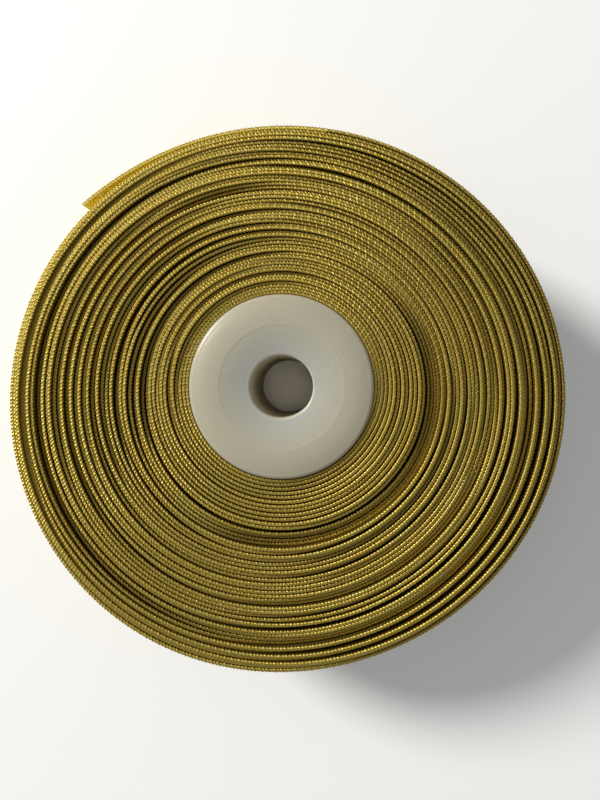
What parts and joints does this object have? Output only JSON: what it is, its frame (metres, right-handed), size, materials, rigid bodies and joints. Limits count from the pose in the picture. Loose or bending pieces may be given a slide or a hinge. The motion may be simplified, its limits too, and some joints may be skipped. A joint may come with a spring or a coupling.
{
  "type": "ribbon spool",
  "caption": "Flangeless roll of woven metallic ribbon on a hollow moulded core with a through bore, with a loose end that lifts off the roll.",
  "frame": {"origin": "centre of the core's bore, halfway between the core's two end faces", "axes": "+Z along the bore, out of the front face from which the inner wraps stand proud; +Y towards the top of the roll seen from the front, with the loose end at the upper left; +X to the right"},
  "size_m": [0.0906, 0.0892, 0.0264],
  "materials": {
    "core_plastic": "milky translucent white moulding, softly polished",
    "gold_ribbon": "woven metallic gold yarn with ribbed weft and beaded edges"
  },
  "bodies": {
    "outer_coil": {"outer_wraps": "gold_ribbon", "last_turn": "gold_ribbon"},
    "inner_coil": {"inner_wraps": "gold_ribbon"},
    "core": {"core_front_half": "core_plastic", "core_rear_half": "core_plastic"},
    "tail_root": {"tail_root": "gold_ribbon"},
    "tail_mid": {"tail_mid": "gold_ribbon"},
    "tail_tip": {"tail_tip": "gold_ribbon"}
  },
  "joints": [
    {"name": "coil_telescope", "type": "slide", "parent": "outer_coil", "child": "inner_coil", "axis": [0, 0, 1], "range_m": [-0.001, 0.008]},
    {"name": "core_turn", "type": "hinge", "parent": "inner_coil", "child": "core", "pos_m": [0, 0, 0], "axis": [0, 0, 1], "continuous": true},
    {"name": "tail_lift", "type": "hinge", "parent": "outer_coil", "child": "tail_root", "pos_m": [0.00148, 0.04242, 0], "axis": [0, 0, -1], "range_deg": [0, 75], "stiffness_Nm_per_rad": 0.00005},
    {"name": "tail_mid_bend", "type": "hinge", "parent": "tail_root", "child": "tail_mid", "pos_m": [-0.01026, 0.04114, 0], "axis": [0, 0, -1], "range_deg": [0, 16]},
    {"name": "tail_tip_bend", "type": "hinge", "parent": "tail_mid", "child": "tail_tip", "pos_m": [-0.02205, 0.03669, 0], "axis": [0, 0, -1], "range_deg": [0, 16]}
  ],
  "couplings": [
    {"joint": "tail_mid_bend", "follows": "tail_lift", "ratio": 0.2},
    {"joint": "tail_tip_bend", "follows": "tail_lift", "ratio": 0.2}
  ]
}
